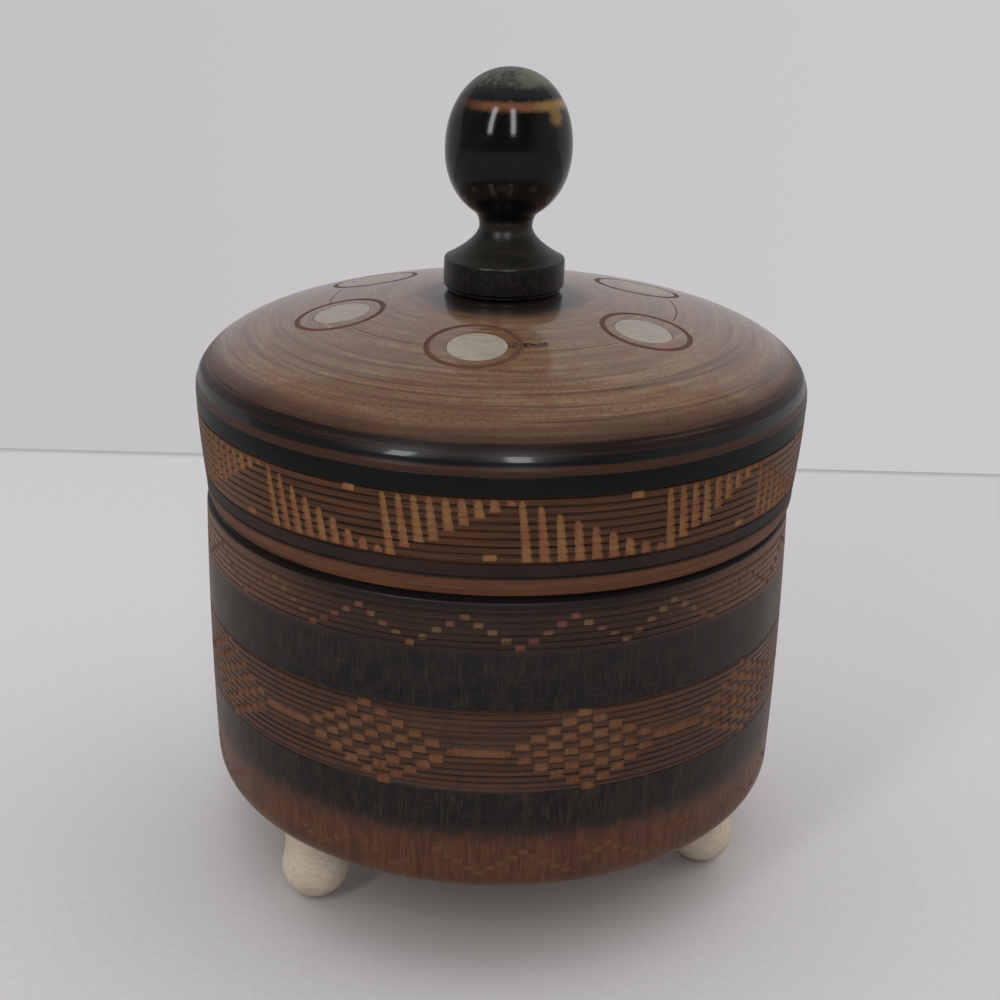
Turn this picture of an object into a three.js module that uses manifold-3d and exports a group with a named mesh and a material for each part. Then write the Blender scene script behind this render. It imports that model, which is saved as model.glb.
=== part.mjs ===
// A lidded trinket box, turned and carved in wood, with a tall knob on its lid,
// round bone inlays in the lid's crown and bone feet. Millimetres, +Z up.
// The origin is on the ground under the box's axis, and -Y is the front.
import * as THREE from 'three';
import { mergeVertices } from 'three/addons/utils/BufferGeometryUtils.js';
import Module from 'manifold-3d';

const wasm = await Module();
wasm.setup();

// Driving dimensions of the box
const lidRadius = 50; // the widest place, just under the lid's shoulder
const skirtFlare = 1.6; // how much the lid draws in from there to its bottom edge
const bodyHeight = 50.2; // from the underside to the ledge that the lid rests on
const bodyBelly = 0.6; // how far the body's side swells past its mouth
const bellyPull = 1.5; // how many times that far its curve is pulled, to reach it
const bodyCornerWidth = 7.6; // rounding of the bottom corner, inwards
const bodyCornerHeight = 5.8; // the same rounding, upwards
const bowlWall = 6.4; // body wall at the mouth, outside the hollow
const bowlFloor = 9; // wood under the hollow, deep enough for the feet's tenons
const bowlCorner = 5; // rounding between the hollow's wall and its floor
const edgeBreak = 0.5; // softened edges of the ledge, the spigot and the lid

// The lid's fit on the body
const spigotHeight = 6; // upstanding rim that enters the lid
const spigotWall = 2.8;
const lidFit = 0.35; // radial gap between spigot and recess
const recessHeadroom = 0.6; // air over the spigot when the lid is down
const seatGap = 0.3; // hairline between pieces that rest on each other

// The lid's outline, measured up from its bottom edge
const skirtHeight = 18.4; // height of the widest place
const lidHeight = 33.5; // height of the crown's highest point, were it not flattened
const crownRise = 5.3; // rise of the crown's arc over its edge
const shoulderWidth = 12; // from the crown's edge out to the widest place
const lidBead = 3.6; // height of the plain bead round the bottom edge
const beadGroove = 0.35; // depth and half width of the groove over the bead
const beadSwell = 0.3; // part of the skirt's flare at which the bead's curve is pulled
const beadFlare = 0.35; // part of the skirt's flare that is reached at the bead's top
const skirtSwell = 0.9; // part of the flare at which the skirt's curve is pulled
const skirtSwellHeight = 0.6; // height of that place, as a part of the widest place's height
const crownWall = 6; // thickness of the crown
const ceilingCorner = 8; // rounding between the lid's inner wall and its ceiling

// The knob
const knobRadius = 10.1; // the egg, at its widest
const knobUpper = 12.4; // from the widest place up to the tip
const knobLower = 11.4; // half height that the egg's lower part is drawn with
const eggCentre = 22.5; // height of the egg's widest place over the seat
const eggLeave = 0.87; // part of the lower half height at which the neck takes over
const neckRadius = 4.25;
const neckHeight = 10.1; // height of the narrowest place over the seat
const neckHollow = 1.6; // how far above it the curve into the egg is pulled
const knobBaseRadius = 9.75;
const knobBaseTop = 5.2; // height of the base's upper edge over the seat
const flareWidth = 0.35; // pull of the curve from the base to the neck, outwards from the neck
const flareHeight = 2.7; // the same pull, upwards from the base
const knobRing = 0.5; // small ring under the base, and the groove between them
const knobRingInset = 0.4;
const seatMargin = 0.2; // how far the flat seat reaches past the base
const tenonRadius = 4;
const tenonFit = 0.3; // radial gap round each tenon

// The inlays
const discRadius = 4.55;
const discThickness = 2.2;
const discEdge = 0.15;
const discInset = 11.2; // from the crown's edge in to the inlays' centres
// Set out by eye, so not quite evenly: degrees round from the front, anticlockwise from above
const discAngles = [-8, 54, 118, 176, 233, 288];
const pocketFit = 0.3; // radial gap round an inlay

// The feet
const footHeight = 14.8; // ground to underside
const footRadius = 5.65; // the rounded lower part
const footFlat = 1.6; // radius of the flat that stands on the ground
const footRoundEnd = 0.15; // angle past its widest place at which the rounded part ends, in radians
const footWaist = 5.4; // radius above the rounded part
const footWaistRise = 1; // how far the waist lies above the middle of the straight part
const footCollar = 6.1; // radius at the top, against the underside
const footCollarHeight = 1.8;
const footTenonRadius = 3;
const footTenonLength = 5.4;
const footTenonHeadroom = 0.9; // air over a foot's tenon in its socket
const footInset = 9.4; // from the body's side at its mouth in to the feet's axes
const footAngles = { foot_left: -139, foot_right: -19, foot_back: 101 };

// How finely round shapes are divided
const boxSegments = 64;
const knobSegments = 36;
const footSegments = 20;
const discSegments = 24;
const curveSteps = 6;
const edgeSteps = 2;
const eggSteps = 16;
const footSteps = 7;
const overcut = 1; // how far a cutter stands out of the face that it enters

// Sizes worked out from the ones above
const rimRadius = lidRadius - skirtFlare;
const bowlRadius = rimRadius - bowlWall;
const spigotRadius = bowlRadius + spigotWall;
const recessRadius = spigotRadius + lidFit;
const recessDepth = spigotHeight - seatGap + recessHeadroom;
const undersideZ = footHeight;
const ledgeZ = undersideZ + bodyHeight;
const lidZ = ledgeZ + seatGap;
const footPitchRadius = rimRadius - footInset;
const socketDepth = footTenonLength - seatGap + footTenonHeadroom;
const crownEdge = lidRadius - shoulderWidth;
const discPitchRadius = crownEdge - discInset; // distance of the inlays from the box's axis
const crownEdgeZ = lidHeight - crownRise;
const crownArc = (crownEdge ** 2 + crownRise ** 2) / (2 * crownRise);
const crownCentreZ = lidHeight - crownArc;
const seatRadius = knobBaseRadius + seatMargin;
const boreRadius = tenonRadius + tenonFit;
const crownZ = (r, arc = crownArc) => crownCentreZ + Math.sqrt(arc ** 2 - r ** 2);
const knobSeatZ = crownZ(seatRadius);

const point = (r, z) => new THREE.Vector2(r, z);

// Points of a curve from one place to another, pulled towards a corner, without its first point
function bend(from, corner, to, steps = curveSteps) {
  return new THREE.QuadraticBezierCurve(from, corner, to).getPoints(steps).slice(1);
}

// Points along the crown's arc between two radii, at the given arc radius
function crownPoints(from, to, arc, steps = curveSteps) {
  return Array.from({ length: steps + 1 }, (_, i) => {
    const r = THREE.MathUtils.lerp(from, to, i / steps);
    return point(r, crownZ(r, arc));
  });
}

// A turned shape: its outline runs up the outside and back down the inside or the axis
function turned(outline, segments) {
  return closed(new THREE.LatheGeometry(outline, segments).rotateX(Math.PI / 2));
}

// Joins the seam and the points on the axis, and leaves out the triangles that collapse there
function closed(geometry) {
  geometry.deleteAttribute('normal');
  geometry.deleteAttribute('uv');
  const merged = mergeVertices(geometry, 1e-4);
  const old = merged.index.array;
  const kept = [];
  for (let i = 0; i < old.length; i += 3) {
    const [a, b, c] = old.slice(i, i + 3);
    if (a !== b && b !== c && c !== a) kept.push(a, b, c);
  }
  merged.setIndex(kept);
  return merged;
}

function toSolid(geometry) {
  return new wasm.Manifold(new wasm.Mesh({
    numProp: 3,
    vertProperties: new Float32Array(geometry.attributes.position.array),
    triVerts: new Uint32Array(geometry.index.array),
  }));
}

function toGeometry(solid) {
  const mesh = solid.getMesh();
  const geometry = new THREE.BufferGeometry();
  geometry.setAttribute('position', new THREE.BufferAttribute(mesh.vertProperties, 3));
  geometry.setIndex(new THREE.BufferAttribute(mesh.triVerts, 1));
  return geometry;
}

// Cuts round holes into a piece: each cutter stands on its place's origin and runs along its +Z
function bored(geometry, radius, depth, segments, places) {
  let solid = toSolid(geometry);
  for (const place of places) {
    const cutter = new THREE.CylinderGeometry(radius, radius, depth, segments)
      .rotateX(Math.PI / 2)
      .translate(0, 0, depth / 2)
      .applyMatrix4(place);
    solid = solid.subtract(toSolid(closed(cutter)));
  }
  return toGeometry(solid);
}

function around(angleDegrees, radius, z) {
  const a = THREE.MathUtils.degToRad(angleDegrees);
  return new THREE.Vector3(radius * Math.cos(a), radius * Math.sin(a), z);
}

// The body: a turned bowl whose mouth carries the spigot, with a blind socket for each foot
function bodyGeometry() {
  const mouth = point(rimRadius, bodyHeight - edgeBreak);
  const cornerTop = point(rimRadius + bodyBelly / 2, bodyCornerHeight);
  const cornerFoot = point(cornerTop.x - bodyCornerWidth, 0);
  const belly = point(rimRadius + bellyPull * bodyBelly, (bodyCornerHeight + bodyHeight) / 2);
  const ledgeEdge = point(rimRadius - edgeBreak, bodyHeight);
  const spigotTop = bodyHeight + spigotHeight;
  const bowlWallFoot = point(bowlRadius, bowlFloor + bowlCorner);
  const outline = [
    point(0, 0),
    cornerFoot,
    ...bend(cornerFoot, point(cornerTop.x, 0), cornerTop),
    ...bend(cornerTop, belly, mouth),
    ...bend(mouth, point(rimRadius, bodyHeight), ledgeEdge, edgeSteps),
    point(spigotRadius, bodyHeight),
    point(spigotRadius, spigotTop - edgeBreak),
    point(spigotRadius - edgeBreak, spigotTop),
    point(bowlRadius + edgeBreak, spigotTop),
    point(bowlRadius, spigotTop - edgeBreak),
    bowlWallFoot,
    ...bend(bowlWallFoot, point(bowlRadius, bowlFloor), point(bowlRadius - bowlCorner, bowlFloor)),
    point(0, bowlFloor),
  ];
  const sockets = Object.values(footAngles).map((angle) => new THREE.Matrix4()
    .setPosition(around(angle, footPitchRadius, -overcut)));
  const socketRadius = footTenonRadius + tenonFit;
  const cutDepth = socketDepth + overcut;
  return bored(turned(outline, boxSegments), socketRadius, cutDepth, footSegments, sockets);
}

// Where an inlay sits: its place on the crown, with +Z square to the crown there
function inlayPlace(angleDegrees) {
  const slope = Math.asin(discPitchRadius / crownArc);
  const turn = THREE.MathUtils.degToRad(angleDegrees - 90);
  const tilt = new THREE.Matrix4().makeRotationZ(turn)
    .multiply(new THREE.Matrix4().makeRotationY(slope));
  return tilt.setPosition(around(angleDegrees - 90, discPitchRadius, crownZ(discPitchRadius)));
}

// The lid: a turned cap, hollow under a crown of even thickness, with a recess over the spigot,
// a bore for the knob's tenon and a pocket for each inlay
function lidGeometry() {
  const beadFoot = point(rimRadius, edgeBreak);
  const beadMiddle = point(rimRadius + skirtFlare * beadSwell, lidBead / 2);
  const beadTop = point(rimRadius + skirtFlare * beadFlare, lidBead);
  const grooveTop = point(beadTop.x, lidBead + 2 * beadGroove);
  const skirt = point(rimRadius + skirtFlare * skirtSwell, skirtHeight * skirtSwellHeight);
  const widest = point(lidRadius, skirtHeight);
  const crownFoot = point(crownEdge, crownEdgeZ);
  const shoulderSlope = crownEdge / Math.sqrt(crownArc ** 2 - crownEdge ** 2);
  const shoulderCorner = point(lidRadius, crownEdgeZ - shoulderWidth * shoulderSlope);
  const innerArc = crownArc - crownWall;
  const ceilingEdge = bowlRadius - ceilingCorner;
  const ceilingFoot = point(ceilingEdge, crownZ(ceilingEdge, innerArc));
  const ceilingCornerPull = point(bowlRadius, ceilingFoot.y);
  const innerWallTop = point(bowlRadius, ceilingFoot.y - ceilingCorner);
  const bottomEdge = point(rimRadius - edgeBreak, 0);
  const outline = [
    bottomEdge,
    ...bend(bottomEdge, point(rimRadius, 0), beadFoot, edgeSteps),
    ...bend(beadFoot, beadMiddle, beadTop, edgeSteps),
    point(beadTop.x - beadGroove, lidBead + beadGroove),
    grooveTop,
    ...bend(grooveTop, skirt, widest, curveSteps - 2),
    ...bend(widest, shoulderCorner, crownFoot),
    ...crownPoints(crownEdge, seatRadius, crownArc).slice(1),
    point(boreRadius, knobSeatZ),
    ...crownPoints(boreRadius, ceilingEdge, innerArc, curveSteps - 2),
    ...bend(ceilingFoot, ceilingCornerPull, innerWallTop, curveSteps - 2),
    point(bowlRadius, recessDepth),
    point(recessRadius, recessDepth),
    point(recessRadius, edgeBreak),
    point(recessRadius + edgeBreak, 0),
    bottomEdge,
  ];
  const pocketDepth = discThickness + seatGap;
  const pockets = discAngles.map((angle) => inlayPlace(angle)
    .multiply(new THREE.Matrix4().makeTranslation(0, 0, -pocketDepth)));
  const pocketRadius = discRadius + pocketFit;
  const cutDepth = pocketDepth + overcut;
  return bored(turned(outline, boxSegments), pocketRadius, cutDepth, discSegments, pockets);
}

// The knob: an egg on a drawn-in neck that flares to a round base, and a tenon below its seat
function knobGeometry() {
  const base = point(knobBaseRadius, knobBaseTop);
  const ringRadius = knobBaseRadius - knobRingInset;
  const ringTop = knobRing;
  const baseFoot = ringTop + 2 * knobRing;
  const tenonFoot = seatGap - crownWall;
  const neck = point(neckRadius, neckHeight);
  const flare = point(neckRadius + flareWidth, knobBaseTop + flareHeight);
  const egg = Array.from({ length: eggSteps + 1 }, (_, i) => {
    const a = THREE.MathUtils.lerp(-Math.asin(eggLeave), Math.PI / 2, i / eggSteps);
    const half = a < 0 ? knobLower : knobUpper;
    return point(i === eggSteps ? 0 : knobRadius * Math.cos(a), eggCentre + half * Math.sin(a));
  });
  const outline = [
    point(0, tenonFoot),
    point(tenonRadius - edgeBreak, tenonFoot),
    point(tenonRadius, tenonFoot + edgeBreak),
    point(tenonRadius, 0),
    point(ringRadius, 0),
    point(ringRadius, ringTop),
    point(ringRadius - knobRingInset, ringTop + knobRing / 2),
    point(ringRadius - knobRingInset, ringTop + knobRing),
    point(knobBaseRadius, baseFoot),
    point(knobBaseRadius, knobBaseTop - edgeBreak / 2),
    ...bend(base, flare, neck),
    ...bend(neck, point(neckRadius, neckHeight + neckHollow), egg[0], curveSteps - 2),
    ...egg.slice(1),
  ];
  return turned(outline, knobSegments);
}

// One inlay: a round bone plug with a softened upper edge, its foot at z = 0
function discGeometry() {
  const outline = [
    point(0, 0),
    point(discRadius, 0),
    point(discRadius, discThickness - discEdge),
    point(discRadius - discEdge, discThickness),
    point(0, discThickness + discEdge / 2),
  ];
  return turned(outline, discSegments);
}

// One foot: round below, nearly straight above, with a collar under the box and a tenon
function footGeometry() {
  const ballCentre = Math.sqrt(footRadius ** 2 - footFlat ** 2);
  const startAngle = Math.asin(-ballCentre / footRadius);
  const ball = Array.from({ length: footSteps + 1 }, (_, i) => {
    const a = THREE.MathUtils.lerp(startAngle, footRoundEnd, i / footSteps);
    return point(footRadius * Math.cos(a), ballCentre + footRadius * Math.sin(a));
  });
  ball[0].y = 0;
  const top = footHeight - seatGap;
  const waist = point(footWaist, (ballCentre + top) / 2 + footWaistRise);
  const outline = [
    point(0, 0),
    ...ball,
    waist,
    point(footCollar, top - footCollarHeight),
    point(footCollar, top),
    point(footTenonRadius, top),
    point(footTenonRadius, top + footTenonLength),
    point(0, top + footTenonLength),
  ];
  return turned(outline, footSegments);
}

const darkWood = new THREE.MeshStandardMaterial({ color: 0x3d2c22, roughness: 0.5, metalness: 0 });
const brownWood = new THREE.MeshStandardMaterial({ color: 0x67503f, roughness: 0.35, metalness: 0 });
const blackWood = new THREE.MeshStandardMaterial({ color: 0x181513, roughness: 0.25, metalness: 0 });
const paleBone = new THREE.MeshStandardMaterial({ color: 0xb9b2a5, roughness: 0.45, metalness: 0 });
const creamBone = new THREE.MeshStandardMaterial({ color: 0xd7d0be, roughness: 0.5, metalness: 0 });

function piece(name, geometry, material) {
  const mesh = new THREE.Mesh(geometry, material.clone());
  mesh.name = name;
  return mesh;
}

const box = new THREE.Group();

const body = piece('body', bodyGeometry(), darkWood);
body.position.z = undersideZ;
box.add(body);

for (const [name, angle] of Object.entries(footAngles)) {
  const foot = piece(name, footGeometry(), creamBone);
  foot.position.copy(around(angle, footPitchRadius, 0));
  box.add(foot);
}

const lidGroup = new THREE.Group();
lidGroup.position.z = lidZ;
lidGroup.add(piece('lid', lidGeometry(), brownWood));

const knob = piece('knob', knobGeometry(), blackWood);
knob.position.z = knobSeatZ + seatGap;
lidGroup.add(knob);

discAngles.forEach((angle, i) => {
  const disc = piece(`inlay_${i + 1}`, discGeometry(), paleBone);
  inlayPlace(angle)
    .multiply(new THREE.Matrix4().makeTranslation(0, 0, -discThickness))
    .decompose(disc.position, disc.quaternion, disc.scale);
  lidGroup.add(disc);
});
box.add(lidGroup);

export default box;
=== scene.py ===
import math
import random

import bmesh
import bpy
from mathutils import Matrix, Vector


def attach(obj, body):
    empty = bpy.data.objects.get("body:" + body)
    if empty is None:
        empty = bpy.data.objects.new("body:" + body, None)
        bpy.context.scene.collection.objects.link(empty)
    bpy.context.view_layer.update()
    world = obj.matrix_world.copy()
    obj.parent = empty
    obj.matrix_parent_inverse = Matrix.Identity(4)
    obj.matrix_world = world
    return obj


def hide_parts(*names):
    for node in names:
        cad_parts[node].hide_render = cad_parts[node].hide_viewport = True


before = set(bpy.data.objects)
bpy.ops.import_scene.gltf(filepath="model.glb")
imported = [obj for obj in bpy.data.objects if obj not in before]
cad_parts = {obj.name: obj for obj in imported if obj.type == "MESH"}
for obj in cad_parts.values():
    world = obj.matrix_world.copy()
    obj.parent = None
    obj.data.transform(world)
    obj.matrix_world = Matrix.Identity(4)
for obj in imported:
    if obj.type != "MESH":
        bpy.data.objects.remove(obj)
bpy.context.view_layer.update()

# A turned and carved trinket box. Shapes are drawn in millimetres, heights from the floor,
# angles in degrees round from the front, and pieces are scaled to metres when they are done.

chance = random.Random(11)


# Shapes

def bend(start, corner, end, steps=8):  # points of a curve pulled towards a corner, without its first
    points = []
    for i in range(1, steps + 1):
        t = i / steps
        points.append(tuple((1 - t) ** 2 * a + 2 * t * (1 - t) * b + t * t * c
                            for a, b, c in zip(start, corner, end)))
    return points


def lerp(a, b, t):
    return a + (b - a) * t


def radiusAt(curve, z):  # radius of a rising run of (radius, height) points
    for (r0, z0), (r1, z1) in zip(curve, curve[1:]):
        if z <= z1:
            return lerp(r0, r1, max(0.0, (z - z0) / (z1 - z0)))
    return curve[-1][0]


def scored(curve, lines, depth, width, step=2.2):  # a rising side with grooves turned into it
    low, high = curve[0][1], curve[-1][1]
    count = math.ceil((high - low) / step)
    heights = [lerp(low, high, i / count) for i in range(count + 1)]
    heights = [z for z in heights if all(abs(z - line) > width * 1.3 for line in lines)]
    points = [(radiusAt(curve, z), z) for z in heights]
    for line in lines:
        deep = depth * chance.uniform(0.75, 1.2)
        half = width * chance.uniform(0.42, 0.55)
        for offset, cut in ((-half, 0), (-half * 0.35, deep), (half * 0.3, deep * 0.9), (half, 0)):
            points.append((radiusAt(curve, line + offset) - cut, line + offset))
    return sorted(points, key=lambda p: p[1])


def spin(bm, outline, steps):  # turns an outline round the axis, closed if it keeps clear of it
    verts = [bm.verts.new((r, 0, z)) for r, z in outline]
    edges = [bm.edges.new(pair) for pair in zip(verts, verts[1:])]
    if outline[0][0] > 0:
        edges.append(bm.edges.new((verts[-1], verts[0])))
    bmesh.ops.spin(bm, geom=verts + edges, cent=(0, 0, 0), axis=(0, 0, 1), angle=math.tau,
                   steps=steps, use_merge=True)


def turn(outline, segments):
    bm = bmesh.new()
    spin(bm, outline, segments)
    bmesh.ops.remove_doubles(bm, verts=bm.verts, dist=1e-4)
    bmesh.ops.recalc_face_normals(bm, faces=bm.faces)
    return bm


def drill(bm, place, radius, depth, segments):
    bmesh.ops.create_cone(bm, cap_ends=True, segments=segments, radius1=radius, radius2=radius,
                          depth=depth, matrix=place)


def onSide(angle, radius, z):  # a place on the side: +X to the right, +Y inwards, +Z up
    a = math.radians(angle)
    return (Matrix.Translation((radius * math.sin(a), -radius * math.cos(a), z))
            @ Matrix.Rotation(a, 4, "Z"))


def loft(bm, sections):  # a closed bar through sections of equal numbers of points
    face = bm.faces.new([bm.verts.new(p) for p in sections[0]])
    between = []
    for section in sections[1:]:
        grown = bmesh.ops.extrude_face_region(bm, geom=[face])
        face = next(g for g in grown["geom"] if isinstance(g, bmesh.types.BMFace))
        for vert, place in zip(face.verts, section):
            vert.co = place
        between.append(face)
    bmesh.ops.delete(bm, geom=between[:-1], context="FACES_ONLY")


def placed(name, data):  # puts a thing into the scene
    made = bpy.data.objects.new(name, data)
    bpy.context.scene.collection.objects.link(made)
    return made


def toObject(name, bm, materials):
    mesh = bpy.data.meshes.new(name)
    bm.to_mesh(mesh)
    bm.free()
    for material in materials:
        mesh.materials.append(material)
    return placed(name, mesh)


def carve(blank, cutters, materialIndex):  # takes the cutters out of the blank
    bmesh.ops.recalc_face_normals(cutters, faces=cutters.faces)
    for face in cutters.faces:
        face.material_index = materialIndex
    tool = toObject(blank.name + "_tool", cutters, blank.data.materials)
    cut = blank.modifiers.new("carve", "BOOLEAN")
    cut.object = tool
    cut.operation = "DIFFERENCE"
    cut.solver = "MANIFOLD"
    with bpy.context.temp_override(object=blank):
        bpy.ops.object.modifier_apply(modifier=cut.name)
    bpy.data.objects.remove(tool)


def finished(made, node, body, shift=0, crease=28):  # sharpens, scales and hands over a piece
    bm = bmesh.new()
    bm.from_mesh(made.data)
    bmesh.ops.translate(bm, vec=(shift, 0, 0), verts=bm.verts)
    for face in bm.faces:
        face.smooth = True
    for edge in bm.edges:
        if len(edge.link_faces) == 2:
            cornered = edge.calc_face_angle(0) > math.radians(crease)
            edge.smooth = not cornered and (edge.link_faces[0].material_index
                                            == edge.link_faces[1].material_index)
    bmesh.ops.scale(bm, vec=(0.001, 0.001, 0.001), verts=bm.verts)
    bm.to_mesh(made.data)
    bm.free()
    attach(made, body)
    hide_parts(node)
    print(made.name, "has", len(made.data.loops) - 2 * len(made.data.polygons), "triangles")


# Node helpers

bench = {}  # holds the node tree that is being wired


def plug(node, feeds):  # links sockets and sets plain values
    for place, feed in feeds.items():
        if isinstance(feed, bpy.types.NodeSocket):
            bench["tree"].links.new(feed, node.inputs[place])
        else:
            node.inputs[place].default_value = feed


def wire(kind, feeds=None, **settings):
    made = bench["tree"].nodes.new("ShaderNode" + kind)
    for name, value in settings.items():
        setattr(made, name, value)
    plug(made, feeds or {})
    return made


def calc(operation, a, b=0.0, c=0.0):
    return wire("Math", {0: a, 1: b, 2: c}, operation=operation).outputs[0]


def product(a, b):
    return calc("MULTIPLY", a, b)


def swing(noise, amount):  # a noise made to swing to both sides of nought
    return product(calc("SUBTRACT", noise, 0.5), amount)


def vectorCalc(operation, a, feeds=None):
    return wire("VectorMath", {0: a, **(feeds or {})}, operation=operation).outputs


def parted(vector):
    return wire("SeparateXYZ", {0: vector}).outputs


def noiseOf(vector, scale, detail=2.0, rough=0.5, distortion=0.0):
    return wire("TexNoise", {"Vector": vector, "Scale": scale, "Detail": detail, "Roughness": rough,
                             "Distortion": distortion}).outputs[0]


def rise(value, low, high, bottom=0.0, top=1.0):  # a smooth step
    return wire("MapRange", {"Value": value, "From Min": low, "From Max": high, "To Min": bottom,
                             "To Max": top}, interpolation_type="SMOOTHSTEP").outputs[0]


def shade(colour):  # red, green and blue as they look on a screen, 0 to 255
    levels = [c / 255 for c in colour]
    return [c / 12.92 if c <= 0.04045 else ((c + 0.055) / 1.055) ** 2.4 for c in levels] + [1]


def tint(mask, under, over):
    return wire("Mix", {0: mask, 6: under, 7: over}, data_type="RGBA").outputs[2]


def ramp(value, low, high, under, over):  # from one colour to the other as a value rises
    return tint(rise(value, low, high), shade(under), shade(over))


def layer(under, value, low, high, most, colour):  # a colour laid over where a value is high
    return tint(rise(value, low, high, 0.0, most), under, shade(colour))


def bumped(height, strength, distance=0.0001):
    return wire("Bump", {"Strength": strength, "Distance": distance, "Height": height}).outputs[0]


def use(effect, feeds=None):
    made = bench["tree"].nodes.new("ShaderNodeGroup")
    made.node_tree = effect
    plug(made, feeds or {})
    return made.outputs


def group(name, inputs, outputs):
    tree = bench["tree"] = bpy.data.node_groups.new(name, "ShaderNodeTree")
    for label, value in inputs.items():
        kind = "Vector" if isinstance(value, tuple) else "Float"
        socket = tree.interface.new_socket(label, in_out="INPUT", socket_type="NodeSocket" + kind)
        socket.default_value = value
    for label, kind in outputs.items():
        tree.interface.new_socket(label, in_out="OUTPUT", socket_type="NodeSocket" + kind)
    return tree, tree.nodes.new("NodeGroupInput").outputs, tree.nodes.new("NodeGroupOutput")


def material(name):
    made = bpy.data.materials.new(name)
    made.use_nodes = True
    bench["tree"] = made.node_tree
    return made, made.node_tree.nodes["Principled BSDF"]


# Shared effects

# Where a point is on the turned box, in millimetres, with the direction round the axis
turned, ins, end = group("turnedPlace", {}, {"Height": "Float", "Radius": "Float", "Around": "Vector",
                                             "Place": "Vector"})
place = vectorCalc("SCALE", wire("TexCoord").outputs["Object"], {"Scale": 1000.0})[0]
parts = parted(place)
flat = wire("CombineXYZ", {0: parts[0], 1: parts[1]}).outputs[0]
plug(end, {"Height": parts[2], "Radius": vectorCalc("LENGTH", flat)["Value"],
           "Around": vectorCalc("NORMALIZE", flat)[0], "Place": place})

# A band between two heights, with soft and slightly wandering edges
band, ins, end = group("band", {"Height": 0.0, "Lower": 0.0, "Upper": 1.0, "Softness": 0.1, "Wander": 0.0},
                       {"Mask": "Float"})
high = calc("ADD", ins["Height"], ins["Wander"])
lower, upper = [[calc(way, ins[edge], ins["Softness"]) for way in ("SUBTRACT", "ADD")]
                for edge in ("Lower", "Upper")]
plug(end, {"Mask": product(rise(high, *lower), rise(high, *upper, 1.0, 0.0))})

# Noise drawn out round the axis (rings) or along it (fibres and scratches)
drawn, ins, end = group("drawnGrain", {"Around": (0, 0, 0), "Across": 0.0, "Turns": 1.0, "Fineness": 1.0,
                                       "Detail": 3.0, "Seed": 0.0}, {"Value": "Float"})
wide = vectorCalc("SCALE", ins["Around"], {"Scale": ins["Turns"]})[0]
lift = calc("MULTIPLY_ADD", ins["Across"], ins["Fineness"], ins["Seed"])
spread = vectorCalc("ADD", wide, {1: wire("CombineXYZ", {2: lift}).outputs[0]})[0]
plug(end, {"Value": noiseOf(spread, 1.0, ins["Detail"], 0.55)})

# A row of scored lines: dark in the cut, with the spacing that the lathe gave them
lined, ins, end = group("scoredLines", {"Height": 0.0, "First": 0.0, "Spacing": 1.0, "Width": 0.4},
                        {"Mask": "Float"})
steps = calc("DIVIDE", calc("SUBTRACT", ins["Height"], ins["First"]), ins["Spacing"])
missed = product(calc("ABSOLUTE", calc("SUBTRACT", steps, calc("ROUND", steps))), ins["Spacing"])
plug(end, {"Mask": rise(missed, product(ins["Width"], 0.3), product(ins["Width"], 0.75), 1.0, 0.0)})


def bandOf(height, lower, upper, soft, drift=0.0):
    return use(band, {"Height": height, "Lower": lower, "Upper": upper, "Softness": soft, "Wander": drift})[0]


def grain(at, across, turns, fineness, detail=3.0, seed=0.0):
    return use(drawn, {"Around": at["Around"], "Across": across, "Turns": turns, "Fineness": fineness,
                       "Detail": detail, "Seed": seed})[0]


def linesOf(height, first, spacing, width):
    return use(lined, {"Height": height, "First": first, "Spacing": spacing, "Width": width})[0]


print("shared effects ready")


# Stage, light and camera

shot = {
    "cameraPlace": (0, -0.25364, 0.15929), "pitch": 21.04, "yaw": 0.03, "roll": 1.15, "lens": 57.2,
    "wallDistance": 0.1928, "wallTurn": -1.05, "wallHeight": 0.32, "sheetWidth": 3, "floorDepth": 2.2,
    "floor": (0.3, 0.7, (205, 202, 203), (201, 198, 199)), "floorShade": (0.058, 0.03, 1.0, (184, 176, 170)),
    "lineWidth": 0.005, "wallFootShade": (0.6, (140, 137, 136)),
    "wall": (199, 196, 199), "wallGlow": (-0.25, 0.25, 0.95, 1.07),
    "sky": (-0.5, 0.6, 0.13, 1.1), "skyTilt": 0.6, "skyToRight": 0.27, "skySides": (0.5, 1.0, 0.0, 0.3),
    "skyColour": (0.99, 0.985, 1.0, 1),
    "mirrorBack": (0.0, 0.5, 0.03, 0.12), "mirrorWall": 0.74, "mirrorFloor": 0.45,
    "mirrors": ((0, -0.4, -0.95, 0.12), (0, 0.4, 0.95, 0.28), (2, 0.6, 0.95, 0.1)),  # left, right and above
    "windows": (-37, 7), "windowPower": 3.2, "windowSize": (0.17, 0.72), "windowDistance": 1.2,
    "windowHeight": 31, "windowColour": (0.97, 0.98, 1.0), "windowAim": (0, 0, 0.12),
}


def buildCamera():
    p, y, r = (math.radians(shot[k]) for k in ("pitch", "yaw", "roll"))
    ahead = Vector((math.sin(y) * math.cos(p), math.cos(y) * math.cos(p), -math.sin(p)))
    right = ahead.cross(Vector((0, 0, 1))).normalized()
    up = right.cross(ahead)
    across = right * math.cos(r) + up * math.sin(r)
    upward = up * math.cos(r) - right * math.sin(r)
    data = bpy.data.cameras.new("camera")
    data.lens, data.sensor_width = shot["lens"], 36
    camera = placed("camera", data)
    camera.matrix_world = Matrix.Translation(shot["cameraPlace"]) @ Matrix(
        (across, upward, -ahead)).transposed().to_4x4()
    bpy.context.scene.camera = camera


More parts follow.
